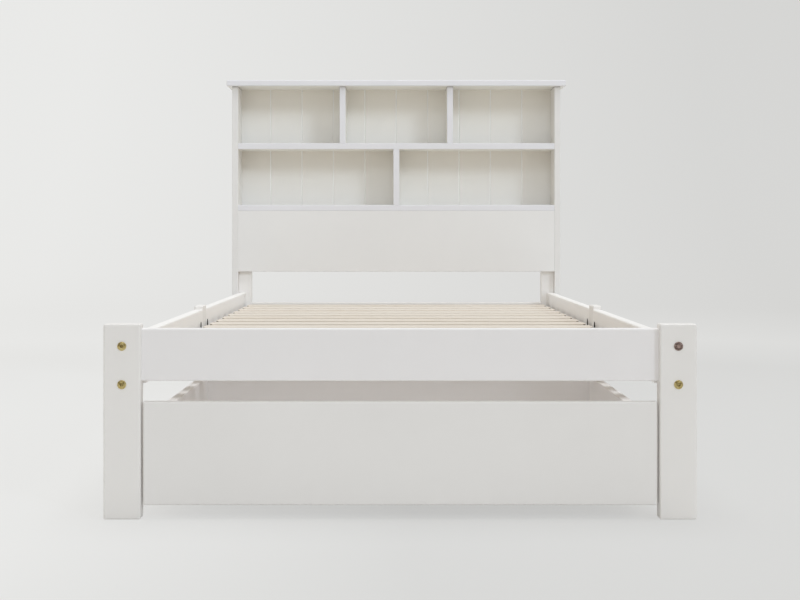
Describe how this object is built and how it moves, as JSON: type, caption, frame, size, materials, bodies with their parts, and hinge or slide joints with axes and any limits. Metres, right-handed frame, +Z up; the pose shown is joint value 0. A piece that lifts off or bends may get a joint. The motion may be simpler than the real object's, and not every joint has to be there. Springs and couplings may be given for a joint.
{
  "type": "bookcase headboard bed",
  "caption": "Slatted single bed with a bookcase headboard, matchboard back, split side rails on mid legs and an under-bed drawer that rolls on castors.",
  "frame": {"origin": "on the floor, in the middle of the outline", "axes": "+X across the bed to its right seen from the foot, +Y along the bed towards the head, +Z up"},
  "size_m": [1.015, 2.059, 0.938],
  "materials": {
    "white_paint": "satin white paint on wood",
    "natural_pine": "planed natural pine, unfinished",
    "drawer_panel": "white-faced board",
    "beech_dowel": "plain beech",
    "brass_plated_bolt": "bright yellow plating",
    "zinc_steel": "zinc plated",
    "castor_plastic": "moulded black plastic"
  },
  "bodies": {
    "bed": {"foot_post_left": "white_paint", "foot_post_right": "white_paint", "foot_rail": "white_paint", "side_rail_front_left": "white_paint", "side_rail_rear_left": "white_paint", "mid_leg_left": "white_paint", "slat_cleat_front_left": "white_paint", "slat_cleat_rear_left": "white_paint", "head_leg_left": "white_paint", "side_board_left": "white_paint", "upper_divider_left": "white_paint", "side_rail_front_right": "white_paint", "side_rail_rear_right": "white_paint", "mid_leg_right": "white_paint", "slat_cleat_front_right": "white_paint", "slat_cleat_rear_right": "white_paint", "head_leg_right": "white_paint", "side_board_right": "white_paint", "upper_divider_right": "white_paint", "head_cross_rail": "white_paint", "top_board": "white_paint", "middle_shelf": "white_paint", "lower_shelf": "white_paint", "lower_divider": "white_paint", "drop_panel": "white_paint", "back_boards": "white_paint", "slat_01": "natural_pine", "slat_02": "natural_pine", "slat_03": "natural_pine", "slat_04": "natural_pine", "slat_05": "natural_pine", "slat_06": "natural_pine", "slat_07": "natural_pine", "slat_08": "natural_pine", "slat_09": "natural_pine", "slat_10": "natural_pine", "slat_11": "natural_pine", "slat_12": "natural_pine", "slat_13": "natural_pine", "slat_14": "natural_pine", "slat_15": "natural_pine", "bed_bolts": "brass_plated_bolt", "bed_barrel_nuts": "zinc_steel", "mid_studs": "zinc_steel", "mid_nuts": "zinc_steel", "slat_screws": "zinc_steel", "dowels": "beech_dowel"},
    "drawer": {"drawer_front": "white_paint", "drawer_side_left": "white_paint", "drawer_side_right": "white_paint", "drawer_back": "white_paint", "drawer_bottom": "drawer_panel", "drawer_batten_front": "natural_pine", "drawer_batten_rear": "natural_pine", "castor_brackets": "zinc_steel", "castor_axles": "zinc_steel"},
    "castor_wheel_front_left": {"castor_wheel_front_left": "castor_plastic"},
    "castor_wheel_front_right": {"castor_wheel_front_right": "castor_plastic"},
    "castor_wheel_rear_left": {"castor_wheel_rear_left": "castor_plastic"},
    "castor_wheel_rear_right": {"castor_wheel_rear_right": "castor_plastic"}
  },
  "joints": [
    {"name": "drawer_slide", "type": "slide", "parent": "bed", "child": "drawer", "axis": [0, -1, 0], "range_m": [0, 0.5]},
    {"name": "wheel_spin_front_left", "type": "hinge", "parent": "drawer", "child": "castor_wheel_front_left", "pos_m": [-0.339, -0.8865, 0.015], "axis": [1, 0, 0], "continuous": true},
    {"name": "wheel_spin_front_right", "type": "hinge", "parent": "drawer", "child": "castor_wheel_front_right", "pos_m": [0.339, -0.8865, 0.015], "axis": [1, 0, 0], "continuous": true},
    {"name": "wheel_spin_rear_left", "type": "hinge", "parent": "drawer", "child": "castor_wheel_rear_left", "pos_m": [-0.339, -0.5865, 0.015], "axis": [1, 0, 0], "continuous": true},
    {"name": "wheel_spin_rear_right", "type": "hinge", "parent": "drawer", "child": "castor_wheel_rear_right", "pos_m": [0.339, -0.5865, 0.015], "axis": [1, 0, 0], "continuous": true}
  ],
  "couplings": [
    {"joint": "wheel_spin_front_left", "follows": "drawer_slide", "rad_per_m": 66.667},
    {"joint": "wheel_spin_front_right", "follows": "drawer_slide", "rad_per_m": 66.667},
    {"joint": "wheel_spin_rear_left", "follows": "drawer_slide", "rad_per_m": 66.667},
    {"joint": "wheel_spin_rear_right", "follows": "drawer_slide", "rad_per_m": 66.667}
  ]
}
